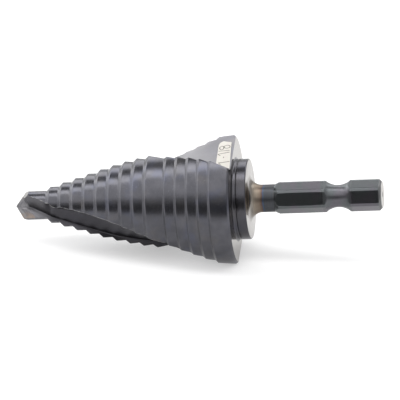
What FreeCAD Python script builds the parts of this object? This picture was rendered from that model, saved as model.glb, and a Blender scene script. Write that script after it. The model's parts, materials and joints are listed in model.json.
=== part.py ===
import FreeCAD, Part
import math
import os

# Step drill of high-speed steel, ground from one bar: a split point, two helical
# flutes, a stepped cone, a collar, a neck and a quarter-inch hex shank.
# The tool is built along +X with its point at x = 0, then laid down as it rests.

# Steps of the cone: 1/4, 7/8 and 1-1/8 inch, with even steps between them
pilot_diameter = 6.35
middle_diameter = 22.225
last_diameter = 28.575
front_steps = 8
rear_steps = 4
first_step_at = 7.9
front_pitch = 2.85
middle_length = 4.35
rear_pitch = 2.575
last_length = 4.15
shoulder_angle = 45.0
rear_chamfer = 0.4

# Point
point_angle = 118.0
flank_relief = 32.7
lip_turn = 12.0
point_web = 0.16
gash_angle = 56.5
gash_depth = 2.8
gash_lean = 2.0

# Flutes
flute_count = 2
flute_lead = 180.0
flute_width = 67.0
flute_wall_turn = 40.4
flute_root = 0.055
flute_depth = 1.25
thinning_start = 8.6
thinning_blend = 2.0
thinning_angle = 23.0
thinning_turn = 102.2
thinning_reach = 2.24
web_share = 0.12
corner_blend = 1.4
flute_stations = 15
flute_overrun = 1.0

# Collar, neck and shank
collar_diameter = 17.8
collar_length = 3.0
collar_foot = 0.45
collar_edge = 0.2
line_at = 0.78
line_width = 0.3
line_depth = 0.15
neck_diameter = 6.1
neck_fillet = 2.6
neck_end = 58.0
hex_across_flats = 6.35
hex_corner_diameter = 7.0
hex_lead_angle = 25.0
groove_at = 72.0
groove_radius = 4.15
groove_diameter = 4.9
shank_end = 81.8
shank_chamfer = 0.7
centre_diameter = 1.6
centre_angle = 60.0
hex_turn = 45.4

# Worked out from the sizes above
pilot_radius = pilot_diameter / 2
middle_radius = middle_diameter / 2
last_radius = last_diameter / 2
front_rise = (middle_radius - pilot_radius) / (front_steps + 1)
rear_rise = (last_radius - middle_radius) / (rear_steps + 1)
middle_at = first_step_at + front_steps * front_pitch
rear_at = middle_at + middle_length
last_at = rear_at + rear_steps * rear_pitch
cone_end = last_at + last_length
collar_end = cone_end + collar_length
half_point = math.radians(point_angle / 2)

X_AXIS = FreeCAD.Vector(1, 0, 0)
ORIGIN = FreeCAD.Vector(0, 0, 0)


def polar(x, radius, degrees):
    """A point at x, at this distance and angle about the tool's axis."""
    turn = math.radians(degrees)
    return FreeCAD.Vector(x, radius * math.cos(turn), radius * math.sin(turn))


def about_axis(shape, degrees):
    """A copy of the shape, turned about the tool's axis."""
    turned = shape.copy()
    turned.rotate(ORIGIN, X_AXIS, degrees)
    return turned


def turned_solid(edges):
    """The solid swept by a closed outline in the XY plane about the axis."""
    return Part.Face(Part.Wire(edges)).revolve(ORIGIN, X_AXIS, 360)


def lines(points):
    """Straight edges through (x, radius) points."""
    vectors = [FreeCAD.Vector(x, radius, 0) for x, radius in points]
    return [Part.makeLine(a, b) for a, b in zip(vectors, vectors[1:])]


def arc(start, middle, end):
    """An arc through three (x, radius) points."""
    vectors = [FreeCAD.Vector(x, radius, 0) for x, radius in (start, middle, end)]
    return Part.Arc(*vectors).toShape()


def step_list():
    """(start, radius, rise) of each step behind the pilot."""
    steps = []
    for k in range(front_steps):
        steps.append((first_step_at + k * front_pitch, pilot_radius + (k + 1) * front_rise, front_rise))
    steps.append((middle_at, middle_radius, front_rise))
    for k in range(rear_steps):
        steps.append((rear_at + k * rear_pitch, middle_radius + (k + 1) * rear_rise, rear_rise))
    steps.append((last_at, last_radius, rear_rise))
    return steps


def cone_outline():
    """(x, radius) points from the pilot's front to the rear face of the last step."""
    slope = math.tan(math.radians(shoulder_angle))
    points = [(0, 0), (0, pilot_radius)]
    for start, radius, rise in step_list():
        points.append((start - rise / slope, radius - rise))
        points.append((start, radius))
    points.append((cone_end - rear_chamfer, last_radius))
    points.append((cone_end, last_radius - rear_chamfer))
    return points


def body():
    """Cone, collar and neck, turned in one outline."""
    collar = collar_diameter / 2
    neck = neck_diameter / 2
    line_x = cone_end + line_at
    bow = 1 - math.sqrt(0.5)
    edges = lines(cone_outline() + [(cone_end, collar + collar_foot),
                                    (cone_end + collar_foot, collar),
                                    (line_x - line_width / 2, collar),
                                    (line_x, collar - line_depth),
                                    (line_x + line_width / 2, collar),
                                    (collar_end - collar_edge, collar),
                                    (collar_end, collar - collar_edge),
                                    (collar_end, neck + neck_fillet)])
    edges.append(arc((collar_end, neck + neck_fillet),
                     (collar_end + neck_fillet * bow, neck + neck_fillet * bow),
                     (collar_end + neck_fillet, neck)))
    edges += lines([(collar_end + neck_fillet, neck), (neck_end, neck), (neck_end, 0), (0, 0)])
    return turned_solid(edges)


def shank():
    """The hex: a hexagonal prism inside a turned outline with its latch groove."""
    neck = neck_diameter / 2
    corner = hex_corner_diameter / 2
    lead = (corner - neck) / math.tan(math.radians(hex_lead_angle))
    groove_centre = groove_diameter / 2 + groove_radius
    reach = math.sqrt(groove_radius ** 2 - (groove_centre - corner) ** 2)
    edges = lines([(neck_end, 0), (neck_end, neck), (neck_end + lead, corner),
                   (groove_at - reach, corner)])
    edges.append(arc((groove_at - reach, corner), (groove_at, groove_diameter / 2),
                     (groove_at + reach, corner)))
    edges += lines([(groove_at + reach, corner), (shank_end - shank_chamfer, corner),
                    (shank_end, corner - shank_chamfer), (shank_end, 0), (neck_end, 0)])
    across_corners = hex_across_flats / math.cos(math.radians(30))
    corners = [polar(neck_end, across_corners / 2, 60 * k + hex_turn) for k in range(7)]
    prism = Part.Face(Part.makePolygon(corners)).extrude(X_AXIS * (shank_end - neck_end))
    return turned_solid(edges).common(prism)


def centre_hole():
    """The conical centre in the shank's end."""
    radius = centre_diameter / 2
    depth = radius / math.tan(math.radians(centre_angle / 2))
    return Part.makeCone(0, radius, depth, FreeCAD.Vector(shank_end - depth, 0, 0), X_AXIS)


def smooth_ramp(distance, blend):
    """Zero before the corner, the distance after it, and rounded within the blend."""
    if distance <= -blend:
        return 0.0
    if distance >= blend:
        return distance
    return (distance + blend) ** 2 / (4 * blend)


def flute_radius(x):
    """Radius of the cone that the flutes follow: the front corners of the steps, rounded."""
    start = first_step_at - front_pitch
    front_slope = (middle_radius - pilot_radius) / (middle_at - start)
    rear_slope = (last_radius - middle_radius) / (last_at - middle_at)
    return (pilot_radius + front_slope * smooth_ramp(x - start, corner_blend)
            + (rear_slope - front_slope) * smooth_ramp(x - middle_at, corner_blend)
            - rear_slope * smooth_ramp(x - last_at, corner_blend))


def helix_turn(x):
    """How far the cutting edge has turned at x, from where it is at the point."""
    return 360 * x / flute_lead


def flute_section(x):
    """Outline of the flute at x: radial cutting face, rounded root and flat back wall."""
    radius = flute_radius(x)
    edge = helix_turn(x)
    wall_normal = flute_width - flute_wall_turn
    wall_share = math.cos(math.radians(flute_wall_turn)) / math.cos(math.radians(wall_normal))
    root_radius = min(radius - flute_depth, wall_share * radius)
    face = polar(0, 1, edge)
    back = (polar(0, radius, edge - flute_width) - face * root_radius).normalize()
    thinned = min(1, max(0, (thinning_start - x) / thinning_blend))
    if thinned > 0:
        flat_distance = math.tan(math.radians(thinning_angle)) * (x - thinning_reach)
        root_radius = min(root_radius, flat_distance / math.sin(math.radians(thinning_turn + edge)))
        back = (back * (1 - thinned) + polar(0, 1, -thinning_turn) * thinned).normalize()
    root = polar(x, max(web_share * radius, root_radius), edge)
    fillet = flute_root * radius
    half = face.getAngle(back) / 2
    setback = fillet / math.tan(half)
    bisector = (face + back).normalize()
    centre = root + bisector * (fillet / math.sin(half))
    face_end = root + face * setback
    back_end = root + back * setback
    far_face = root + face * (1.2 * radius)
    far_back = root + back * (2.5 * radius)
    round_root = Part.Arc(face_end, centre - bisector * fillet, back_end).toShape()
    return Part.Wire([Part.makeLine(far_face, face_end), round_root,
                      Part.makeLine(back_end, far_back), Part.makeLine(far_back, far_face)])


def flute():
    """One helical flute that grows with the cone and runs out past both ends."""
    spacing = (cone_end + 2 * flute_overrun) / (flute_stations - 1)
    sections = [flute_section(k * spacing - flute_overrun) for k in range(flute_stations)]
    return Part.makeLoft(sections, True, True)


def flank():
    """What is ground off in front of one flank, which falls away behind its lip."""
    along_lip = polar(0, 1, lip_turn)
    behind = polar(0, 1, lip_turn + 90)
    fall = math.tan(math.radians(flank_relief)) / math.sin(half_point)
    outward = along_lip / math.tan(half_point) + behind * fall - X_AXIS
    return Part.makeCylinder(3 * pilot_radius, 3 * pilot_radius, ORIGIN, outward)


def gash():
    """The notch that splits the point: a face through the lip, and a floor square to it."""
    size = 3 * pilot_radius
    along_lip = polar(0, 1, lip_turn)
    ahead = polar(0, 1, lip_turn - 90)
    lean = math.tan(math.radians(gash_lean))
    cot = 1 / math.tan(half_point)
    slope = math.tan(math.radians(gash_angle))
    face_normal = (ahead + along_lip * (lean * cot) - X_AXIS * lean).normalize()
    root = X_AXIS + along_lip * slope + ahead * (lean * (1 - cot * slope))
    root.normalize()
    to_lip = face_normal.cross(root)
    if to_lip.x > 0:
        to_lip = -to_lip
    on_axis = X_AXIS * gash_depth + ahead * (point_web / 2 + lean * gash_depth)
    corner = on_axis - root * size
    outline = Part.makePolygon([corner, corner + to_lip * size, corner + (to_lip + face_normal) * size,
                                corner + face_normal * size, corner])
    return Part.Face(outline).extrude(root * (2 * size))


def step_drill():
    """The whole tool along +X, point at the origin."""
    cutters = [centre_hole()]
    for k in range(flute_count):
        turn = 360 / flute_count * k
        cutters += [about_axis(make(), turn) for make in (flute, flank, gash)]
    return body().fuse(shank()).cut(cutters).Solids[0]


def heel_corner(x, radius):
    """Where the back wall of the second flute meets a step of this radius."""
    wall_normal = flute_width - flute_wall_turn
    distance = flute_radius(x) * math.cos(math.radians(flute_wall_turn))
    turn = wall_normal + math.degrees(math.acos(distance / radius))
    return polar(x, radius, 180 + helix_turn(x) - turn)


def cutting_corner(x, radius):
    """Where the cutting face of the second flute meets a step of this radius."""
    return polar(x, radius, 180 + helix_turn(x))


def laid_down(tool):
    """The tool as it rests astride its second flute, on three corners of the steps."""
    front = cutting_corner(middle_at, middle_radius)
    side = cutting_corner(rear_at + rear_pitch, middle_radius + 2 * rear_rise)
    back = heel_corner(cone_end - rear_chamfer, last_radius)
    down = (side - front).cross(back - front).normalize()
    if down.dot(front) < 0:
        down = -down
    turn = -90 - math.degrees(math.atan2(down.z, down.y))
    tilt = math.degrees(math.asin(-down.x))
    lying = about_axis(tool, turn)
    lying.rotate(ORIGIN, FreeCAD.Vector(0, -1, 0), tilt)
    box = lying.optimalBoundingBox(True, False)
    lying.translate(FreeCAD.Vector(-box.Center.x, -box.Center.y, -box.ZMin))
    print("turned", round(turn, 3), "tilted", round(tilt, 3))
    return lying


os.makedirs("parts", exist_ok=True)
drill = laid_down(step_drill())
print("step_drill", drill.isValid(), drill.ShapeType, round(drill.Volume, 2), "mm3")
drill.exportStep("parts/step_drill.step")
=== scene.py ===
"""A black oxide step drill lying on a pale floor under soft studio light."""

import json
import math

import bmesh
import bpy
import numpy as np
from mathutils import Matrix, Vector


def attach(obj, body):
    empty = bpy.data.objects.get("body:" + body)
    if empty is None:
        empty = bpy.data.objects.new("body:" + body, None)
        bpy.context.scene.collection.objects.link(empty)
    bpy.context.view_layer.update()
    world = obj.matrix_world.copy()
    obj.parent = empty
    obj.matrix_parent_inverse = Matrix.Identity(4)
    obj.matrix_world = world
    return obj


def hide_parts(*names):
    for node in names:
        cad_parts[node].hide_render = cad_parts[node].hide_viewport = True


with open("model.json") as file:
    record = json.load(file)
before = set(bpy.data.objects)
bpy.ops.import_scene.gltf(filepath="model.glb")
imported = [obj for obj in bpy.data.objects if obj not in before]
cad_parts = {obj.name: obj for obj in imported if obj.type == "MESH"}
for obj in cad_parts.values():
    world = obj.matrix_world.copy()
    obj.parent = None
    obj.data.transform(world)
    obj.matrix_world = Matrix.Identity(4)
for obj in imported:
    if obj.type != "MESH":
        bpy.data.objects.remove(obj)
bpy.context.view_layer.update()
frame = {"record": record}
mounts = {mount["name"]: mount for mount in frame["record"]["mounts"]}

# Sizes of the tool, in millimetres and degrees, with its point at x = 0
MM = 0.001
PILOT_RADIUS = 3.175
MIDDLE_RADIUS = 11.1125
LAST_RADIUS = 14.2875
FRONT_STEPS = 8
REAR_STEPS = 4
FIRST_STEP_AT = 7.9
FRONT_PITCH = 2.85
MIDDLE_LENGTH = 4.35
REAR_PITCH = 2.575
LAST_LENGTH = 4.15
REAR_CHAMFER = 0.4
FRONT_RISE = (MIDDLE_RADIUS - PILOT_RADIUS) / (FRONT_STEPS + 1)
REAR_RISE = (LAST_RADIUS - MIDDLE_RADIUS) / (REAR_STEPS + 1)
MIDDLE_AT = FIRST_STEP_AT + FRONT_STEPS * FRONT_PITCH
REAR_AT = MIDDLE_AT + MIDDLE_LENGTH
LAST_AT = REAR_AT + REAR_STEPS * REAR_PITCH
CONE_END = LAST_AT + LAST_LENGTH

POINT_ANGLE = 118.0
FLANK_RELIEF = 32.7
LIP_TURN = 12.0
POINT_WEB = 0.16
GASH_ANGLE = 56.5
GASH_DEPTH = 2.8
GASH_LEAN = 2.0

FLUTE_LEAD = 180.0
FLUTE_WIDTH = 67.0
FLUTE_WALL_TURN = 40.4
FLUTE_ROOT = 0.055
FLUTE_DEPTH = 1.25
HEEL_STEEPNESS = 24.0
REAR_STEEP_SHARE = 0.3
HEEL_WALL = 0.95
REAR_HEEL_WALL = 0.72
KNEE_BEND = 0.25
THINNING_START = 8.6
THINNING_BLEND = 2.0
THINNING_ANGLE = 23.0
THINNING_TURN = 102.2
THINNING_REACH = 2.24
WEB_SHARE = 0.12
CORNER_BLEND = 1.4

COLLAR_RADIUS = 8.9
COLLAR_END = CONE_END + 3.0
COLLAR_FOOT = 0.45
COLLAR_EDGE = 0.2
LINE_AT = 0.78
LINE_WIDTH = 0.3
LINE_DEPTH = 0.15
NECK_RADIUS = 3.05
NECK_FILLET = 2.6
NECK_END = 58.0
HEX_ACROSS_FLATS = 6.35
HEX_CORNER_RADIUS = 3.5
HEX_LEAD_ANGLE = 25.0
HEX_TURN = 45.4
GROOVE_AT = 72.0
GROOVE_RADIUS = 4.15
GROOVE_BOTTOM = 2.45
SHANK_END = 81.8
SHANK_CHAMFER = 0.7
CENTRE_RADIUS = 0.8
CENTRE_ANGLE = 60.0
CHUCK_POINT = 78.15
FLAT_TURN = HEX_TURN + 90

# How finely the tool is drawn, in millimetres and points
BLANK_START = -0.6
STEP_EDGE = 0.07
SOFT_SHARE = 0.4
COLLAR_SOFTNESS = 0.05
CENTRE_EDGE = 0.06
CENTRE_LIP = 0.05
CENTRE_TIP = 0.02
FLUTE_EDGE = 0.06
EDGE_SHARE = 0.15
ROOT_SHARE = 0.5
LONGEST_STEP = 0.45
LAND_POINTS = 54
HEEL_POINTS = 4
WALL_POINTS = 14
ROOT_POINTS = 6
FACE_POINTS = 12
BEND_POINTS = 2
FLUTE_POINTS = HEEL_POINTS + WALL_POINTS + ROOT_POINTS + FACE_POINTS + 3 * BEND_POINTS
RING_POINTS = 2 * (LAND_POINTS + FLUTE_POINTS)
FLAT_POINTS = 20
LEAST_REACH = 10.0
FOOT_POINTS = 7
FILLET_POINTS = 24
NECK_POINTS = 8
LEAD_POINTS = 16
HEX_POINTS = 5
GROOVE_POINTS = 44
GROOVE_APPROACH = 3.2
HEX_RINGS = (76.5, 78.8)
CHAMFER_POINTS = 12
SHARP_ANGLE = 34.0
FAR_FROM_EDGE = 9.0
NEAR_AXIS = 0.5
SLACK = 0.01

# The point of the shank's rings that the cone's first point meets
START_POINT = round((360 * CONE_END / FLUTE_LEAD - HEX_TURN + 30) / 360 * RING_POINTS
                    + FLAT_POINTS / 2)


# Shape of the tool, as rings of points about its axis

def helix_turn(x):
    """How far the cutting edge has turned at x."""
    return 360 * x / FLUTE_LEAD


def smooth_ramp(distance, blend):
    """Zero before the corner, the distance after it, and rounded within the blend."""
    if distance <= -blend:
        return 0.0
    if distance >= blend:
        return distance
    return (distance + blend) ** 2 / (4 * blend)


def flute_radius(x):
    """Radius of the cone that the flutes follow."""
    start = FIRST_STEP_AT - FRONT_PITCH
    front_slope = (MIDDLE_RADIUS - PILOT_RADIUS) / (MIDDLE_AT - start)
    rear_slope = (LAST_RADIUS - MIDDLE_RADIUS) / (LAST_AT - MIDDLE_AT)
    return (PILOT_RADIUS + front_slope * smooth_ramp(x - start, CORNER_BLEND)
            + (rear_slope - front_slope) * smooth_ramp(x - MIDDLE_AT, CORNER_BLEND)
            - rear_slope * smooth_ramp(x - LAST_AT, CORNER_BLEND))


def across(radius, degrees):
    """A point across the axis, at this distance and angle."""
    turn = math.radians(degrees)
    return np.array([radius * math.cos(turn), radius * math.sin(turn)])


def turned(points, degrees):
    """Points across the axis, turned about it."""
    turn = math.radians(degrees)
    return points @ np.array([[math.cos(turn), math.sin(turn)],
                              [-math.sin(turn), math.cos(turn)]])


def unit(vector):
    return vector / np.linalg.norm(vector)


def flute_lines(x):
    """Root of the flute ahead of the cutting edge at angle zero, and its back wall's direction."""
    radius = flute_radius(x)
    wall_share = (math.cos(math.radians(FLUTE_WALL_TURN))
                  / math.cos(math.radians(FLUTE_WIDTH - FLUTE_WALL_TURN)))
    root = min(radius - FLUTE_DEPTH, wall_share * radius)
    back = unit(across(radius, -FLUTE_WIDTH) - across(root, 0))
    thinned = min(1, max(0, (THINNING_START - x) / THINNING_BLEND))
    if thinned > 0:
        flat_turn = THINNING_TURN + helix_turn(x)
        flat_distance = math.tan(math.radians(THINNING_ANGLE)) * (x - THINNING_REACH)
        root = min(root, flat_distance / math.sin(math.radians(flat_turn)))
        back = unit(back * (1 - thinned) + across(1, -flat_turn) * thinned)
    return across(max(WEB_SHARE * radius, root), 0), back


def at_radius(point, direction, radius):
    """Where a line out through the point reaches this radius."""
    lead = point @ direction
    return point + direction * (math.sqrt(lead ** 2 + radius ** 2 - point @ point) - lead)


def heel_wall(x, radius):
    """Heel of a step of this radius, and the knee below it, where the wall leans back."""
    root, back = flute_lines(x)
    corner = at_radius(root, back, flute_radius(x))
    steep = unit(turned(corner, -HEEL_STEEPNESS))
    share = np.interp(x, (THINNING_START, THINNING_START + THINNING_BLEND, MIDDLE_AT, LAST_AT),
                      (0, 1, 1, REAR_STEEP_SHARE))
    rise = unit(back * (1 - share) + steep * share)
    depth = np.interp(x, (MIDDLE_AT, LAST_AT), (HEEL_WALL, REAR_HEEL_WALL))
    return at_radius(corner, rise, radius), at_radius(corner, rise, flute_radius(x) - depth)


def between(start, end, count):
    """Points spread evenly from one to the other, both included."""
    share = np.linspace(0, 1, count)[:, None]
    return start * (1 - share) + end * share


def bend(start, corner, end, count):
    """Points inside a round bend, without its two ends."""
    share = np.linspace(0, 1, count + 2)[1:-1, None]
    return start * (1 - share) ** 2 + corner * 2 * share * (1 - share) + end * share ** 2


def fluted_ring(x, radius):
    """Outline of the stepped cone at x: land, heel, back wall, root and cutting face, twice."""
    root = flute_lines(x)[0]
    heel, knee = heel_wall(x, radius)
    tip = across(radius, 0)
    edge = min(FLUTE_EDGE, EDGE_SHARE * (radius - root[0]))
    down = unit(knee - heel)
    inward = unit(root - knee)
    out = np.array([1.0, 0.0])
    half = math.acos(np.clip(-inward @ out, -1, 1)) / 2
    setback = min(FLUTE_ROOT * flute_radius(x) / math.tan(half), ROOT_SHARE * (radius - root[0]))
    heel_turn = math.degrees(math.atan2(heel[1], heel[0])) + 180
    edge_turn = math.degrees(edge / radius)
    angles = np.radians(np.linspace(edge_turn, heel_turn - edge_turn, LAND_POINTS))
    land = np.stack([radius * np.cos(angles), radius * np.sin(angles)], axis=1)
    heel_foot = heel + down * edge
    knee_start = knee - down * KNEE_BEND
    knee_end = knee + inward * KNEE_BEND
    wall_end = root - inward * setback
    face_start = root + out * setback
    face_end = tip - out * edge
    flute = [bend(-land[-1], heel, heel_foot, BEND_POINTS),
             between(heel_foot, knee_start, HEEL_POINTS),
             bend(knee_start, knee, knee_end, BEND_POINTS),
             between(knee_end, wall_end, WALL_POINTS),
             bend(wall_end, root, face_start, ROOT_POINTS),
             between(face_start, face_end, FACE_POINTS),
             bend(face_end, tip, land[0], BEND_POINTS)]
    side = np.vstack([land, -np.vstack(flute)])
    ring = turned(np.vstack([side, -side]), helix_turn(x))
    return np.column_stack([np.full(len(ring), x), ring])


def shank_ring(x, radius):
    """Outline behind the cone: a circle, cut by the hex's flats where it is wider than they are."""
    flat = HEX_ACROSS_FLATS / 2
    hexed = x >= NECK_END
    reach = math.degrees(math.acos(flat / radius)) if hexed and radius > flat else 0
    reach = max(LEAST_REACH, min(reach, math.degrees(math.acos(flat / HEX_CORNER_RADIUS))))
    corner_points = RING_POINTS // 6 - FLAT_POINTS
    local = np.concatenate([np.linspace(-reach, reach, FLAT_POINTS),
                            np.linspace(reach, 60 - reach, corner_points + 2)[1:-1]])
    reaches = np.full(len(local), radius)
    if hexed:
        inside = np.abs(local) <= reach
        reaches[inside] = np.minimum(radius, flat / np.cos(np.radians(local[inside])))
    angles = np.radians(np.concatenate([HEX_TURN - 30 + 60 * k + local for k in range(6)]))
    reaches = np.tile(reaches, 6)
    ring = np.column_stack([np.full(RING_POINTS, x), reaches * np.cos(angles),
                            reaches * np.sin(angles)])
    return np.roll(ring, -START_POINT, axis=0)


# Outlines of the tool, as (x, radius) points

def softened(points, size):
    """The outline's corners, each cut back by up to this size and rounded."""
    made = [np.array(points[0], float)]
    for before, corner, after in zip(points, points[1:], points[2:]):
        before, corner, after = (np.array(p, float) for p in (before, corner, after))
        cut = min(size, SOFT_SHARE * np.linalg.norm(corner - before),
                  SOFT_SHARE * np.linalg.norm(after - corner))
        start = corner + unit(before - corner) * cut
        end = corner + unit(after - corner) * cut
        made += [start, *bend(start, corner, end, 1), end]
    made.append(np.array(points[-1], float))
    return made


def filled_in(points):
    """The outline with its long runs divided, so that twisted walls stay smooth."""
    made = [points[0]]
    for start, end in zip(points, points[1:]):
        parts = max(1, math.ceil(abs(end[0] - start[0]) / LONGEST_STEP))
        made += list(between(start, end, parts + 1)[1:])
    return made


def straight_run(start, end, radius, count):
    """Points at one radius from start to end, without the first."""
    return [np.array([x, radius]) for x in np.linspace(start, end, count)[1:]]


def round_run(centre, radius, start, end, count):
    """Points of an arc about a centre, from one angle to another."""
    angles = np.radians(np.linspace(start, end, count))
    return [np.array([centre[0] + radius * math.cos(a), centre[1] + radius * math.sin(a)])
            for a in angles]


def cone_outline():
    """From in front of the point to the rear face of the last step."""
    points = [(BLANK_START, PILOT_RADIUS)]
    steps = [(FIRST_STEP_AT + k * FRONT_PITCH, PILOT_RADIUS + (k + 1) * FRONT_RISE, FRONT_RISE)
             for k in range(FRONT_STEPS + 1)]
    steps += [(REAR_AT + k * REAR_PITCH, MIDDLE_RADIUS + (k + 1) * REAR_RISE, REAR_RISE)
              for k in range(REAR_STEPS + 1)]
    for start, radius, rise in steps:
        points += [(start - rise, radius - rise), (start, radius)]
    points += [(CONE_END - REAR_CHAMFER, LAST_RADIUS), (CONE_END, LAST_RADIUS - REAR_CHAMFER)]
    return filled_in(softened(points, STEP_EDGE))


def collar_outline():
    """The collar with its turned line, and the ground face behind it."""
    foot = round_run((CONE_END + COLLAR_FOOT, COLLAR_RADIUS + COLLAR_FOOT), COLLAR_FOOT,
                     180, 270, FOOT_POINTS)
    line = CONE_END + LINE_AT
    edges = softened([foot[-1],
                      (line - LINE_WIDTH / 2, COLLAR_RADIUS),
                      (line, COLLAR_RADIUS - LINE_DEPTH),
                      (line + LINE_WIDTH / 2, COLLAR_RADIUS),
                      (COLLAR_END - COLLAR_EDGE, COLLAR_RADIUS),
                      (COLLAR_END, COLLAR_RADIUS - COLLAR_EDGE),
                      (COLLAR_END, NECK_RADIUS + NECK_FILLET)], COLLAR_SOFTNESS)
    return foot[:-1] + edges


def neck_outline():
    """The fillet and the neck, up to the hex."""
    fillet_end = COLLAR_END + NECK_FILLET
    fillet = round_run((fillet_end, NECK_RADIUS + NECK_FILLET), NECK_FILLET,
                       180, 270, FILLET_POINTS)
    return fillet[1:] + straight_run(fillet_end, NECK_END, NECK_RADIUS, NECK_POINTS)


def hex_outline():
    """The hex: its lead, the latch groove and the chamfered end with the centre hole."""
    lead_end = (NECK_END + (HEX_CORNER_RADIUS - NECK_RADIUS)
                / math.tan(math.radians(HEX_LEAD_ANGLE)))
    centre = GROOVE_BOTTOM + GROOVE_RADIUS
    half = math.degrees(math.acos((centre - HEX_CORNER_RADIUS) / GROOVE_RADIUS))
    points = list(between(np.array([NECK_END, NECK_RADIUS]),
                          np.array([lead_end, HEX_CORNER_RADIUS]), LEAD_POINTS)[1:])
    points += straight_run(lead_end, GROOVE_AT - GROOVE_APPROACH, HEX_CORNER_RADIUS,
                           HEX_POINTS)
    points += round_run((GROOVE_AT, centre), GROOVE_RADIUS, 270 - half, 270 + half, GROOVE_POINTS)
    points += [np.array([x, HEX_CORNER_RADIUS]) for x in (GROOVE_AT + GROOVE_APPROACH, *HEX_RINGS)]
    points += list(between(np.array([SHANK_END - SHANK_CHAMFER, HEX_CORNER_RADIUS]),
                           np.array([SHANK_END, HEX_CORNER_RADIUS - SHANK_CHAMFER]),
                           CHAMFER_POINTS))
    depth = CENTRE_RADIUS / math.tan(math.radians(CENTRE_ANGLE / 2))
    points += [np.array([SHANK_END, CENTRE_RADIUS + CENTRE_EDGE]),
               np.array([SHANK_END - CENTRE_LIP, CENTRE_RADIUS]),
               np.array([SHANK_END - depth, CENTRE_TIP])]
    return points


# Finishes, in the order of the tool's material slots
TURNED, FLUTED, FLANK, GASH, REAR, SHANK = range(6)


def rings():
    """Every ring from point to shank, and the finish of the band behind each."""
    made = [(fluted_ring(x, radius), REAR if x >= CONE_END else TURNED)
            for x, radius in cone_outline()]
    made += [(shank_ring(x, radius), REAR if x >= COLLAR_END else TURNED)
             for x, radius in collar_outline()]
    made += [(shank_ring(x, radius), REAR) for x, radius in neck_outline()]
    made += [(shank_ring(x, radius), REAR if x > SHANK_END - SHANK_CHAMFER + SLACK else SHANK)
             for x, radius in hex_outline()]
    return made


def is_land(column):
    """True for the bands of faces that lie on a land."""
    return column % (RING_POINTS // 2) < LAND_POINTS


def tool_mesh():
    """The whole tool in millimetres, with a face band for each pair of rings."""
    bands = rings()
    points = np.vstack([ring for ring, _ in bands])
    faces, finishes = [], []
    fluted_bands = len(cone_outline()) - 1
    for row, (_, finish) in enumerate(bands[:-1]):
        near = row * RING_POINTS
        far = near + RING_POINTS
        for column in range(RING_POINTS):
            after = (column + 1) % RING_POINTS
            faces.append((near + column, near + after, far + after, far + column))
            in_flute = row < fluted_bands and not is_land(column)
            finishes.append(FLUTED if in_flute else finish)
    faces += [tuple(range(RING_POINTS))[::-1],
              tuple(range(len(points) - RING_POINTS, len(points)))]
    finishes += [FLANK, REAR]
    mesh = bpy.data.meshes.new("step_drill_body")
    mesh.from_pydata(points.tolist(), [], faces)
    mesh.polygons.foreach_set("material_index", finishes)
    return mesh


# The point, ground with cutters

CUTTER_SIZE = 3 * PILOT_RADIUS


def own_direction(degrees):
    """A direction across the tool's axis at this angle."""
    return Vector((0, *across(1, degrees)))


def prism(outline, reach):
    """A cutter: a flat outline swept along a straight reach."""
    count = len(outline)
    points = [tuple(p) for p in outline] + [tuple(p + reach) for p in outline]
    faces = [tuple(range(count))[::-1], tuple(range(count, 2 * count))]
    faces += [(k, (k + 1) % count, (k + 1) % count + count, k + count) for k in range(count)]
    mesh = bpy.data.meshes.new("cutter")
    mesh.from_pydata(points, [], faces)
    form = bmesh.new()
    form.from_mesh(mesh)
    bmesh.ops.recalc_face_normals(form, faces=form.faces)
    form.to_mesh(mesh)
    form.free()
    return mesh


def flank_cutter(turn):
    """What is ground off in front of one flank."""
    half_point = math.radians(POINT_ANGLE / 2)
    fall = math.tan(math.radians(FLANK_RELIEF)) / math.sin(half_point)
    outward = (own_direction(LIP_TURN + turn) / math.tan(half_point)
               + own_direction(LIP_TURN + turn + 90) * fall + Vector((-1, 0, 0))).normalized()
    side = outward.orthogonal().normalized()
    other = outward.cross(side)
    outline = [way * CUTTER_SIZE for way in (side, other, -side, -other)]
    return prism(outline, outward * CUTTER_SIZE)


def gash_cutter(turn):
    """The notch that splits the point: a face through the lip, and a floor square to it."""
    lip = own_direction(LIP_TURN + turn)
    ahead = own_direction(LIP_TURN + turn - 90)
    axis = Vector((1, 0, 0))
    lean = math.tan(math.radians(GASH_LEAN))
    cot = 1 / math.tan(math.radians(POINT_ANGLE / 2))
    slope = math.tan(math.radians(GASH_ANGLE))
    face_normal = (ahead + lip * (lean * cot) - axis * lean).normalized()
    root = (axis + lip * slope + ahead * (lean * (1 - cot * slope))).normalized()
    to_lip = face_normal.cross(root)
    if to_lip.x > 0:
        to_lip = -to_lip
    corner = (axis * GASH_DEPTH + ahead * (POINT_WEB / 2 + lean * GASH_DEPTH)
              - root * CUTTER_SIZE)
    outline = [corner, corner + to_lip * CUTTER_SIZE,
               corner + (to_lip + face_normal) * CUTTER_SIZE, corner + face_normal * CUTTER_SIZE]
    return prism(outline, root * (2 * CUTTER_SIZE))


def in_scene(name, data):
    """A new object of the scene."""
    made = bpy.data.objects.new(name, data)
    bpy.context.scene.collection.objects.link(made)
    return made


def cut_by(tool, cutters):
    """Takes these cutters away from the tool; each leaves its own finish."""
    held = []
    for number, (mesh, finish) in enumerate(cutters):
        mesh.materials.append(finish)
        cutter = in_scene(f"cutter_{number}", mesh)
        cut = tool.modifiers.new(cutter.name, "BOOLEAN")
        cut.object = cutter
        cut.operation = "DIFFERENCE"
        cut.solver = "EXACT"
        cut.material_mode = "TRANSFER"
        held.append(cutter)
    evaluated = tool.evaluated_get(bpy.context.evaluated_depsgraph_get())
    shape = bpy.data.meshes.new_from_object(evaluated)
    tool.modifiers.clear()
    tool.data = shape
    for cutter in held:
        bpy.data.objects.remove(cutter)


# The tool, laid where the CAD part lies

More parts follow.
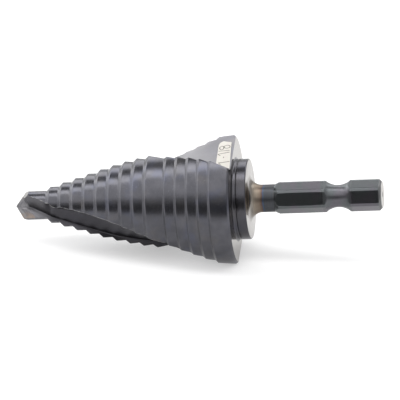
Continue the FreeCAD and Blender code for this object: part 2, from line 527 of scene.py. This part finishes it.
def placed():
    """Where the tool lies: its own millimetres turned into the frame's metres."""
    axis = Vector(mounts["hex_shank"]["axis"]).normalized()
    flat = Vector(mounts["shank_flat"]["axis"]).normalized()
    turn = math.radians(FLAT_TURN)
    own_y = (flat * math.cos(turn) - axis.cross(flat) * math.sin(turn)).normalized()
    own_z = axis.cross(own_y)
    tip = Vector(mounts["hex_shank"]["pos_m"]) - axis * (CHUCK_POINT * MM)
    turned_to = Matrix((axis, own_y, own_z)).transposed().to_4x4()
    return Matrix.Translation(tip) @ turned_to @ Matrix.Scale(MM, 4)


PLACE = placed()


def coordinates(mesh):
    """The mesh's points, a row each."""
    points = np.empty(3 * len(mesh.vertices))
    mesh.vertices.foreach_get("co", points)
    return points.reshape(-1, 3)


def lay_down(mesh):
    """Keeps the tool's own coordinates for the finishes, then puts the mesh where it lies."""
    own = mesh.attributes.new("tool", "FLOAT_VECTOR", "POINT")
    own.data.foreach_set("vector", coordinates(mesh).ravel())
    mesh.transform(PLACE)


def edge_distances(points):
    """How far each point is from the nearest edge of a flute, in its own cross-section."""
    rim_places, rims = np.array(cone_outline()).T
    made = np.full(len(points), FAR_FROM_EDGE)
    for index, (x, y, z) in enumerate(points):
        if x > CONE_END + SLACK or math.hypot(y, z) < NEAR_AXIS:
            continue
        rim = np.interp(x, rim_places, rims)
        corners = np.array([across(rim, 0), heel_wall(x, rim)[0]])
        corners = turned(np.vstack([corners, -corners]), helix_turn(x))
        made[index] = np.min(np.hypot(*(corners - (y, z)).T))
    return made


def step_drill():
    """The tool, with its point ground and its finishes told apart."""
    finishes = [make() for make in (turned_oxide, ground_flutes, ground_flanks, ground_gashes,
                                    bare_rear, shank_oxide)]
    tool = in_scene("tool", tool_mesh())
    for finish in finishes:
        tool.data.materials.append(finish)
    for turn in (0, 180):
        cut_by(tool, [(flank_cutter(turn), finishes[FLANK]), (gash_cutter(turn), finishes[GASH])])
    mesh = tool.data
    edge = mesh.attributes.new("edge", "FLOAT", "POINT")
    edge.data.foreach_set("value", edge_distances(coordinates(mesh)))
    lay_down(mesh)
    mesh.shade_smooth()
    mesh.set_sharp_from_angle(angle=math.radians(SHARP_ANGLE))
    even = tool.modifiers.new("even_normals", "WEIGHTED_NORMAL")
    even.keep_sharp = True
    return tool


# The size mark, etched into the back wall of the first flute.
# Its millimetres run across the mark, towards the shank, and along it, out from the root.

MARK_AT = 46.2
MARK_FOOT = 2.2
MARK_SLANT = 0.05
MARK_SKEW = 0.19
FIELD_PROUD = 0.008
NUMERAL_PROUD = 0.016
STROKE_WIDTH = 0.20
FIELD_ROWS = 60
FIELD_COLUMNS = 14
STROKE_POINTS = 8
LOOP_POINTS = 25
# The field's outline: along it, and its front and rear ends across it
MARK_OUTLINE = ((-1.2, 0.0, 3.05), (0.0, 0.0, 3.05), (8.3, 0.05, 3.0), (9.1, 0.22, 3.0),
                (9.5, 0.4, 1.9), (9.9, 0.95, 1.25))
# Both ends of each stroke
NUMERAL_STROKES = (((0.5, 0.2), (2.9, 1.45)), ((0.5, 0.2), (1.0, -0.4)), ((1.5, 2.55), (1.5, 3.1)),
                   ((0.15, 4.05), (2.75, 5.1)), ((0.15, 4.05), (0.75, 3.4)),
                   ((0.15, 5.45), (2.75, 5.8)))
# Centre and half sizes of each loop of the eight
NUMERAL_LOOPS = ((0.85, 6.9, 0.48, 0.8), (2.05, 7.3, 0.7, 0.62))


def mark_point(across_mark, along_mark, proud):
    """A point of the mark, across and along it, and this far proud of the wall."""
    x = MARK_AT + across_mark - MARK_SLANT * along_mark
    root, back = flute_lines(x)
    outward = np.array([-back[1], back[0]])
    point = root + back * (MARK_FOOT + along_mark + MARK_SKEW * across_mark) + outward * proud
    return (x, *turned(point, helix_turn(x)))


def strip(mesh_parts, first, second, finish):
    """Adds a strip of faces between two rows of points."""
    points, faces, finishes = mesh_parts
    start = len(points)
    points += [*first, *second]
    count = len(first)
    faces += [(start + k, start + k + 1, start + count + k + 1, start + count + k)
              for k in range(count - 1)]
    finishes += [finish] * (count - 1)


def stroke(mesh_parts, path):
    """Adds one stroke of a numeral along a path on the mark."""
    along = np.gradient(path, axis=0)
    side = np.stack([-along[:, 1], along[:, 0]], axis=1)
    side *= STROKE_WIDTH / 2 / np.linalg.norm(side, axis=1)[:, None]
    first, second = ([mark_point(a, b, NUMERAL_PROUD) for a, b in path + side * way]
                     for way in (-1, 1))
    strip(mesh_parts, first, second, 1)


def size_mark():
    """The etched field with its numerals: the largest hole in inches."""
    parts = ([], [], [])
    alongs, fronts, rears = np.array(MARK_OUTLINE).T
    field = []
    for b in np.linspace(alongs[0], alongs[-1], FIELD_ROWS):
        row = np.linspace(np.interp(b, alongs, fronts), np.interp(b, alongs, rears), FIELD_COLUMNS)
        field.append([mark_point(a, b, FIELD_PROUD) for a in row])
    for first, second in zip(field, field[1:]):
        strip(parts, first, second, 0)
    for start, end in NUMERAL_STROKES:
        stroke(parts, between(np.array(start), np.array(end), STROKE_POINTS))
    for a, b, half_a, half_b in NUMERAL_LOOPS:
        turns = np.linspace(0, 2 * math.pi, LOOP_POINTS)
        stroke(parts, np.stack([a + half_a * np.cos(turns), b + half_b * np.sin(turns)], axis=1))
    points, faces, finishes = parts
    mesh = bpy.data.meshes.new("size_mark")
    mesh.from_pydata(points, [], faces)
    for finish in (etched_field(), etched_numerals()):
        mesh.materials.append(finish)
    mesh.polygons.foreach_set("material_index", finishes)
    lay_down(mesh)
    mesh.shade_smooth()
    return in_scene("size_mark", mesh)


# Finishes

class Value:
    """A socket of a finish, with arithmetic on numbers."""

    def __init__(self, finish, socket):
        self.finish = finish
        self.socket = socket

    def math(self, operation, *others):
        values = dict(enumerate((self, *others)))
        return self.finish.node("ShaderNodeMath", {"operation": operation}, values)

    def __add__(self, other):
        return self.math("ADD", other)

    __radd__ = __add__

    def __mul__(self, other):
        return self.math("MULTIPLY", other)

    __rmul__ = __mul__

    def __sub__(self, other):
        return self.math("SUBTRACT", other)

    def __rsub__(self, other):
        return (self * -1) + other

    def ramp(self, low, high):
        """Zero up to low, one from high, and smooth between; low may be the larger."""
        return self.finish.node("ShaderNodeMapRange", {"interpolation_type": "SMOOTHSTEP"},
                                {"Value": self, "From Min": low, "From Max": high})


class Finish:
    """The nodes of a material or of the world."""

    def __init__(self, owner):
        self.owner = owner
        owner.use_nodes = True
        self.tree = owner.node_tree
        self.tree.nodes.clear()

    def node(self, kind, settings=None, values=None, output=0):
        """A node of this kind: its settings first, then its sockets' values or links."""
        made = self.tree.nodes.new(kind)
        for name, value in (settings or {}).items():
            if name == "stops":
                while len(made.color_ramp.elements) < len(value):
                    made.color_ramp.elements.new(0.5)
                for element, (position, colour) in zip(made.color_ramp.elements, value):
                    element.position = position
                    element.color = (*colour, 1)
            else:
                setattr(made, name, value)
        for name, value in (values or {}).items():
            if isinstance(value, Value):
                self.tree.links.new(value.socket, made.inputs[name])
            else:
                made.inputs[name].default_value = value
        return Value(self, made.outputs[output] if made.outputs else None)

    def mix(self, share, first, second):
        """A colour part of the way from the first to the second."""
        first, second = (value if isinstance(value, Value) else (*value, 1)
                         for value in (first, second))
        return self.node("ShaderNodeMix", {"data_type": "RGBA", "clamp_factor": True},
                         {0: share, 6: first, 7: second}, 2)

    def own(self):
        """The tool's own x, y and z in millimetres."""
        place = self.node("ShaderNodeAttribute", {"attribute_name": "tool"}, output=1)
        split = self.node("ShaderNodeSeparateXYZ", {}, {0: place}).socket.node
        return [Value(self, split.outputs[k]) for k in range(3)]

    def join(self, x, y, z):
        return self.node("ShaderNodeCombineXYZ", {}, {0: x, 1: y, 2: z})

    def noise(self, place, scale=1.0, detail=2.0, roughness=0.5):
        return self.node("ShaderNodeTexNoise", {}, {"Vector": place, "Scale": scale,
                                                    "Detail": detail, "Roughness": roughness})

    def bump(self, height, distance):
        """Relief of this height, in metres."""
        return self.node("ShaderNodeBump", {}, {"Height": height, "Distance": distance,
                                                "Strength": 1.0})

    def surface(self, values):
        """The owner's surface, from the sockets of the Principled shader."""
        shader = self.node("ShaderNodeBsdfPrincipled", {}, values)
        self.node("ShaderNodeOutputMaterial", {}, {"Surface": shader})
        return self.owner

    def wear_and_edge_highlight(self, width):
        """Up to one on the broken line of worn steel and painted edge highlight along the flutes'
        edges, zero away from it.
        """
        edge = self.node("ShaderNodeAttribute", {"attribute_name": "edge"}, output=2)
        x, y, z = self.own()
        breaks = self.noise(self.join(x, y, z), 1.4, 2.0)
        return edge.ramp(width, width * 0.4) * breaks.ramp(0.38, 0.62) * x.ramp(44, 38)

    def untwisted(self):
        """The own coordinates with the flutes' twist taken out."""
        x, y, z = self.own()
        turn = x * math.radians(-360 / FLUTE_LEAD)
        return self.node("ShaderNodeVectorRotate", {"rotation_type": "X_AXIS"},
                         {"Vector": self.join(x, y, z), "Angle": turn})


# Colours of the steel and its oxide
OXIDE = (0.108, 0.107, 0.119)
OXIDE_DARK = (0.083, 0.083, 0.093)
OXIDE_BROWN = (0.121, 0.113, 0.112)
OXIDE_BLUE = (0.092, 0.096, 0.125)
SHANK_BLUE = (0.106, 0.114, 0.118)
SHANK_PURPLE = (0.118, 0.112, 0.126)
# Painted shade: the dark colour laid over the flutes and the collar
FLUTE_PAINTED_SHADE = (0.048, 0.046, 0.051)
FLUTE_THIN = (0.46, 0.455, 0.468)
BRIGHT_STEEL = (0.60, 0.59, 0.575)
FACED_STEEL = (0.40, 0.392, 0.384)
FLANK_STEEL = (0.30, 0.295, 0.29)
FLANK_MARKS = (0.22, 0.215, 0.21)
# Worn bare steel along the flutes' edges, light enough to paint their edge highlight too
WORN_STEEL_AND_HIGHLIGHT = (0.28, 0.277, 0.274)
CHAMFERED_STEEL = (0.15, 0.152, 0.155)
GASH_STEEL = (0.165, 0.163, 0.168)
GASH_MARKS = (0.07, 0.068, 0.075)
GASH_BROWN = (0.18, 0.142, 0.116)
NECK_STREAKS = (0.11, 0.098, 0.09)
FIELD_GREEN = (0.60, 0.585, 0.53)
FIELD_PINK = (0.60, 0.555, 0.525)
FIELD_LINES = (0.46, 0.45, 0.40)
NUMERAL_DARK = (0.07, 0.065, 0.055)
NUMERAL_LIGHT = (0.16, 0.15, 0.13)

# Heat tints behind the collar, with painted shade darkening the fillet next to the collar face; one
# unit of the ramp is five millimetres
RAMP_PER_MM = 0.2
HEAT_TINTS_AND_FILLET_SHADE = ((0.0, FACED_STEEL), (0.09, (0.21, 0.196, 0.178)), (0.24, (0.23, 0.195, 0.155)),
              (0.46, (0.18, 0.14, 0.108)), (0.57, (0.10, 0.068, 0.056)),
              (0.62, (0.05, 0.082, 0.145)), (0.68, (0.060, 0.065, 0.073)))

# Heights of the marks, in metres
COARSE_MARKS = 0.000008
PLAIN_MARKS = 0.000004
FINE_MARKS = 0.000002
FLUTE_MARKS = 0.0000015


def cloudy_oxide(finish):
    """The oxide's slow changes of tone over the tool."""
    x, y, z = finish.own()
    clouds = finish.noise(finish.join(x, y, z), 0.35, 3.0, 0.55)
    tone = finish.mix(clouds.ramp(0.35, 0.7), OXIDE_DARK, OXIDE)
    warm = finish.noise(finish.join(x, y, z + 40), 0.22, 2.0)
    tone = finish.mix(warm.ramp(0.52, 0.75) * 0.6, tone, OXIDE_BROWN)
    cold = finish.noise(finish.join(x, y, z - 30), 0.26, 2.0)
    return finish.mix(cold.ramp(0.48, 0.7) * 0.7, tone, OXIDE_BLUE)


def turned_oxide():
    """Black oxide over fine turning marks, darkened on the collar by painted shade, with worn steel
    and a painted highlight along the flutes' edges.
    """
    finish = Finish(bpy.data.materials.new("turned_oxide"))
    x, y, z = finish.own()
    marks = finish.noise(finish.join(x * 16, y * 0.25, z * 0.25), 1.0, 3.0, 0.6)
    grain = finish.noise(finish.join(x * 5, y * 5, z * 5), 1.0, 3.0, 0.6)
    wear_and_highlight = finish.wear_and_edge_highlight(0.16)
    colour = finish.mix(marks.ramp(0.3, 0.75) * 0.35, cloudy_oxide(finish), OXIDE_DARK)
    # Painted shade: the collar is darkened halfway to the flutes' painted shade colour
    colour = finish.mix(0.5 * x.ramp(CONE_END, CONE_END + 0.2), colour, FLUTE_PAINTED_SHADE)
    # Worn steel and a painted edge highlight along the flutes' edges
    colour = finish.mix(wear_and_highlight, colour, WORN_STEEL_AND_HIGHLIGHT)
    height = marks * 0.7 + grain * 0.3
    return finish.surface({"Base Color": colour, "Metallic": 1.0,
                           "Roughness": 0.22 + 0.08 * grain - 0.04 * wear_and_highlight,
                           "Normal": finish.bump(height, PLAIN_MARKS)})


def ground_flutes():
    """Black oxide over the marks that run along the flutes, darkened by painted shade in the
    hollow, thinner near the point and the rear.
    """
    finish = Finish(bpy.data.materials.new("ground_flutes"))
    along = finish.node("ShaderNodeVectorMath", {"operation": "MULTIPLY"},
                        {0: finish.untwisted(), 1: (0.3, 9.0, 9.0)})
    marks = finish.noise(along, 1.0, 3.0, 0.6)
    wear_and_highlight = finish.wear_and_edge_highlight(0.12)
    x = finish.own()[0]
    thin = x.ramp(31.5, 39) + 0.18 * x.ramp(9.5, 5)
    # Share of painted shade in the flutes, smaller where the oxide is thin
    dark = 0.85 - 0.1 * marks.ramp(0.35, 0.7) - 0.75 * thin
    colour = finish.mix(dark, cloudy_oxide(finish), FLUTE_PAINTED_SHADE)
    colour = finish.mix((0.8 - 0.5 * x.ramp(38, 47)) * thin, colour, FLUTE_THIN)
    # Worn steel and a painted edge highlight along the flutes' edges
    colour = finish.mix(wear_and_highlight, colour, WORN_STEEL_AND_HIGHLIGHT)
    return finish.surface({"Base Color": colour, "Metallic": 1.0,
                           "Specular Tint": (0.7, 0.7, 0.72, 1),
                           "Roughness": 0.26 + 0.06 * marks + 0.16 * thin,
                           "Normal": finish.bump(marks, FLUTE_MARKS)})


def ground_flanks():
    """Bright ground flanks of the point."""
    finish = Finish(bpy.data.materials.new("ground_flanks"))
    x, y, z = finish.own()
    marks = finish.noise(finish.join(x * 2, y * 7, z * 7), 1.0, 3.0, 0.6)
    colour = finish.mix(marks.ramp(0.35, 0.7) * 0.5, FLANK_STEEL, FLANK_MARKS)
    return finish.surface({"Base Color": colour, "Metallic": 1.0,
                           "Specular Tint": (0.85, 0.84, 0.83, 1),
                           "Roughness": 0.24 + 0.12 * marks,
                           "Normal": finish.bump(marks, PLAIN_MARKS)})


def ground_gashes():
    """Coarse straight marks along the gashes, dark with oxide and tinted brown by heat."""
    finish = Finish(bpy.data.materials.new("ground_gashes"))
    x, y, z = finish.own()
    lip = math.radians(LIP_TURN)
    out = (y * math.cos(lip) + z * math.sin(lip)).math("ABSOLUTE")
    ahead = z * math.cos(lip) - y * math.sin(lip)
    steep = math.radians(GASH_ANGLE)
    off = out * math.cos(steep) - x * math.sin(steep)
    down = out * math.sin(steep) + x * math.cos(steep)
    marks = finish.noise(finish.join(off * 3.2, ahead * 3.2, down * 0.35), 1.0, 4.0, 0.7)
    tint = finish.noise(finish.join(x * 0.8, y * 0.8, z * 0.8 + 3), 1.0, 2.0)
    colour = finish.mix(marks.ramp(0.36, 0.64), GASH_STEEL, GASH_MARKS)
    colour = finish.mix(out.ramp(1.2, 2.6) * tint.ramp(0.35, 0.6) * 0.75, colour, GASH_BROWN)
    return finish.surface({"Base Color": colour, "Metallic": 1.0,
                           "Roughness": 0.24 + 0.20 * marks,
                           "Normal": finish.bump(marks, COARSE_MARKS)})


def bare_rear():
    """Bare turned steel behind the cone, heat tinted on the neck with painted shade in the fillet
    behind the collar, and on the shank's end.
    """
    finish = Finish(bpy.data.materials.new("bare_rear"))
    x, y, z = finish.own()
    marks = finish.noise(finish.join(x * 14, y * 0.3, z * 0.3), 1.0, 3.0, 0.6)
    faced = finish.noise(finish.join((y * y + z * z).math("SQRT") * 6, x, 0.0), 1.0, 3.0, 0.6)
    wander = finish.noise(finish.join(x * 0.5, y * 0.6, z * 0.6), 1.0, 2.0) * 0.7 - 0.35
    behind = x - COLLAR_END
    # Heat tints, with painted shade on the fillet just behind the collar face
    tint = finish.node("ShaderNodeValToRGB", {"stops": HEAT_TINTS_AND_FILLET_SHADE},
                       {"Fac": (behind + wander * behind.ramp(0.2, 0.9)) * RAMP_PER_MM})
    streaks = marks.ramp(0.42, 0.68) * behind.ramp(0.3, 0.9) * behind.ramp(12, 11) * 0.4
    colour = finish.mix(streaks, tint, NECK_STREAKS)
    colour = finish.mix(behind.ramp(20, 20.5), colour, CHAMFERED_STEEL)
    colour = finish.mix(x.ramp(SHANK_END - 0.14, SHANK_END - 0.03), colour, BRIGHT_STEEL)
    rough = 0.12 + 0.08 * faced + (0.2 + 0.12 * marks) * behind.ramp(0.2, 1.4)
    return finish.surface({"Base Color": colour, "Metallic": 1.0,
                           "Specular Tint": (0.8, 0.79, 0.78, 1),
                           "Roughness": rough,
                           "Normal": finish.bump(marks * 0.4 + faced * 0.6, FINE_MARKS)})


def shank_oxide():
    """Black oxide on the drawn hex, mottled and tinted blue and purple."""
    finish = Finish(bpy.data.materials.new("shank_oxide"))
    x, y, z = finish.own()
    drawn = finish.noise(finish.join(x * 0.25, y * 7, z * 7), 1.0, 3.0, 0.6)
    spots = finish.noise(finish.join(x * 2.2, y * 2.2, z * 2.2), 1.0, 4.0, 0.65)
    tint = finish.noise(finish.join(x * 0.3, y * 0.15, z * 0.15 + 7), 1.0, 2.0)
    tone = finish.mix(tint.ramp(0.42, 0.6), SHANK_BLUE, SHANK_PURPLE)
    in_groove = (x.ramp(GROOVE_AT - 3.4, GROOVE_AT - 2.8)
                 * x.ramp(GROOVE_AT + 3.4, GROOVE_AT + 2.8))
    colour = finish.mix(spots.ramp(0.45, 0.75) * 0.45, tone, OXIDE_DARK)
    return finish.surface({"Base Color": colour, "Metallic": 1.0,
                           "Roughness": 0.17 + 0.10 * spots + 0.13 * in_groove,
                           "Normal": finish.bump(drawn * 0.6 + spots * 0.4, PLAIN_MARKS)})


def etched_field():
    """The pale, matt and slightly uneven field that the laser leaves."""
    finish = Finish(bpy.data.materials.new("etched_field"))
    x, y, z = finish.own()
    cloud = finish.noise(finish.join(x, y, z), 1.1, 3.0, 0.6)
    scan = finish.noise(finish.join(x * 0.6, y * 9, z * 9), 1.0, 2.0)
    colour = finish.mix(cloud.ramp(0.35, 0.7), FIELD_GREEN, FIELD_PINK)
    colour = finish.mix(scan.ramp(0.5, 0.75) * 0.25, colour, FIELD_LINES)
    return finish.surface({"Base Color": colour, "Metallic": 0.0,
                           "Roughness": 0.5 + 0.2 * scan,
                           "Normal": finish.bump(scan, FINE_MARKS)})


def etched_numerals():
    """The numerals, burnt darker than their field."""
    finish = Finish(bpy.data.materials.new("etched_numerals"))
    x, y, z = finish.own()
    cloud = finish.noise(finish.join(x, y, z), 2.5, 2.0)
    colour = finish.mix(cloud.ramp(0.3, 0.7), NUMERAL_DARK, NUMERAL_LIGHT)
    return finish.surface({"Base Color": colour, "Metallic": 0.3,
                           "Roughness": 0.45 + 0.15 * cloud})


# Camera: angles in degrees; centre, raise, width and sensor in millimetres; the rest in metres

VIEW_TURN = 127.5
VIEW_LEAN = 8.4
VIEW_ROLL = 1.78
VIEW_CENTRE = 41.2
VIEW_RAISED = 0.07
VIEW_WIDTH = 88.3
VIEW_DISTANCE = 1.15
VIEW_LIMIT = 20
SENSOR_WIDTH = 36

TO_WORLD = PLACE.to_3x3().normalized()
AXIS = TO_WORLD @ Vector((1, 0, 0))
CENTRE = PLACE @ Vector((VIEW_CENTRE, 0, 0))


def seen_from(turn):
    """The direction out from the axis at this angle up from the camera's side."""
    return TO_WORLD @ own_direction(VIEW_TURN - turn)


def facing(direction, across_it):
    """A rotation whose Z is this direction, with X along the other as near as it can be."""
    direction = direction.normalized()
    side = (across_it - direction * across_it.dot(direction)).normalized()
    return Matrix((side, direction.cross(side), direction)).transposed().to_4x4()


def out_from_centre(direction, along, distance):
    """A place this far out from the tool's centre, facing it."""
    there = CENTRE + direction.normalized() * distance
    return Matrix.Translation(there) @ facing(direction, along)


def set_camera():
    lean = math.radians(VIEW_LEAN)
    toward = seen_from(0) * math.cos(lean) + AXIS * math.sin(lean)
    turned_to = facing(toward, AXIS) @ Matrix.Rotation(math.radians(-VIEW_ROLL), 4, "Z")
    up = turned_to.to_3x3() @ Vector((0, 1, 0))
    data = bpy.data.cameras.new("camera")
    data.sensor_width = SENSOR_WIDTH
    data.lens = SENSOR_WIDTH * VIEW_DISTANCE / (VIEW_WIDTH * MM)
    data.clip_end = VIEW_LIMIT
    camera = in_scene("camera", data)
    aim = CENTRE + up * (VIEW_RAISED * MM)
    camera.matrix_world = Matrix.Translation(aim + toward * VIEW_DISTANCE) @ turned_to
    bpy.context.scene.camera = camera


# Lights, cards and floor, in metres and degrees up from the camera's side

# Watts for each square metre of a soft box as bright as one
BOX_WATTS = 4
LIGHT_DISTANCE = 0.6
LIGHT_LENGTH = 1.4
# Name, first and last angle, and how bright the soft box is
BOXES = (("back_box", 105, 131, 1.75), ("top_box", 57, 78, 2.6), ("front_box", 9, 52, 0.62))
# Name, first and last angle, and how light the card is
CARDS = (("back_card", 79, 104, 0.3), ("camera_card", -2, 8, 0.5))
BLACK_CARD = {"distance": 0.075, "length": 0.4, "width": 0.034, "shade": 0.13}
BLACK_CARD_HEIGHT = 0.017
LEFT_FROM = (-1, 0.35, 0.28)
LEFT_BOX = {"distance": 0.7, "length": 0.5, "width": 0.7, "strength": 1.3}
FLOOR_SIZE = 8.0
FLOOR_TONE = 0.62
FLOOR_GLOW = 0.42
STUDIO_TINT = (0.85, 0.85, 0.86, 1)
STUDIO_LIGHT = 0.45
STUDIO_SHOWN = 0.55


def lamp(name, direction, along, distance, length, width, strength):
    """A soft box facing the tool, whose surface is this bright."""
    data = bpy.data.lights.new(name, "AREA")
    data.shape = "RECTANGLE"
    data.size = length
    data.size_y = width
    data.energy = strength * BOX_WATTS * length * width
    made = in_scene(name, data)
    made.matrix_world = out_from_centre(direction, along, distance)
    made.visible_camera = False


def rectangle(name, length, width):
    """A flat sheet about the origin."""
    x, y = length / 2, width / 2
    mesh = bpy.data.meshes.new(name)
    mesh.from_pydata([(-x, -y, 0), (x, -y, 0), (x, y, 0), (-x, y, 0)], [], [(0, 1, 2, 3)])
    return mesh


def card(name, direction, along, distance, length, width, shade):
    """A matt card facing the tool, which the camera doesn't see."""
    mesh = rectangle(name, length, width)
    finish = Finish(bpy.data.materials.new(name))
    mesh.materials.append(finish.surface({"Base Color": (shade, shade, shade, 1),
                                          "Roughness": 0.9}))
    made = in_scene(name, mesh)
    made.matrix_world = out_from_centre(direction, along, distance)
    made.visible_camera = False
    return made


def set_lights():
    for make, row in ((lamp, BOXES), (card, CARDS)):
        for name, start, end, level in row:
            width = 2 * LIGHT_DISTANCE * math.tan(math.radians(end - start) / 2)
            make(name, seen_from((start + end) / 2), AXIS, LIGHT_DISTANCE, LIGHT_LENGTH, width,
                 level)
    forward = Vector((-AXIS.y, AXIS.x, 0)).normalized()
    forward = forward if forward.dot(seen_from(0)) > 0 else -forward
    black = card("black_card", forward, AXIS, **BLACK_CARD)
    black.location.z = BLACK_CARD_HEIGHT
    black.visible_diffuse = False
    black.visible_shadow = False
    lamp("left_box", Vector(LEFT_FROM), Vector((0, 0, 1)), **LEFT_BOX)


def shown_directly(finish):
    """One for the rays that show a background: seen, mirrored or through glass."""
    rays = finish.node("ShaderNodeLightPath").socket.node.outputs
    seen, mirrored, through = (Value(finish, rays[name]) for name in
                               ("Is Camera Ray", "Is Glossy Ray", "Is Transmission Ray"))
    return seen + mirrored + through


def set_floor():
    """A pale matt floor that takes the tool's shadow and shows white."""
    mesh = rectangle("floor", FLOOR_SIZE, FLOOR_SIZE)
    finish = Finish(bpy.data.materials.new("pale_floor"))
    matt = finish.node("ShaderNodeBsdfDiffuse", {},
                       {"Color": (FLOOR_TONE, FLOOR_TONE, FLOOR_TONE, 1)})
    glow = finish.node("ShaderNodeEmission", {},
                       {"Color": (1, 1, 1, 1), "Strength": shown_directly(finish) * FLOOR_GLOW})
    both = finish.node("ShaderNodeAddShader", {}, {0: matt, 1: glow})
    finish.node("ShaderNodeOutputMaterial", {}, {"Surface": both})
    mesh.materials.append(finish.owner)
    in_scene("floor", mesh)


def set_world():
    world = bpy.data.worlds.new("studio")
    bpy.context.scene.world = world
    studio = Finish(world)
    strength = STUDIO_LIGHT + shown_directly(studio) * STUDIO_SHOWN
    background = studio.node("ShaderNodeBackground", {},
                             {"Color": STUDIO_TINT, "Strength": strength})
    studio.node("ShaderNodeOutputWorld", {}, {"Surface": background})


def main():
    tool = step_drill()
    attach(tool, "root")
    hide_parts("step_drill")
    mark = size_mark()
    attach(mark, "root")
    set_camera()
    set_lights()
    set_floor()
    set_world()
    bpy.context.scene.view_settings.view_transform = "Standard"


main()
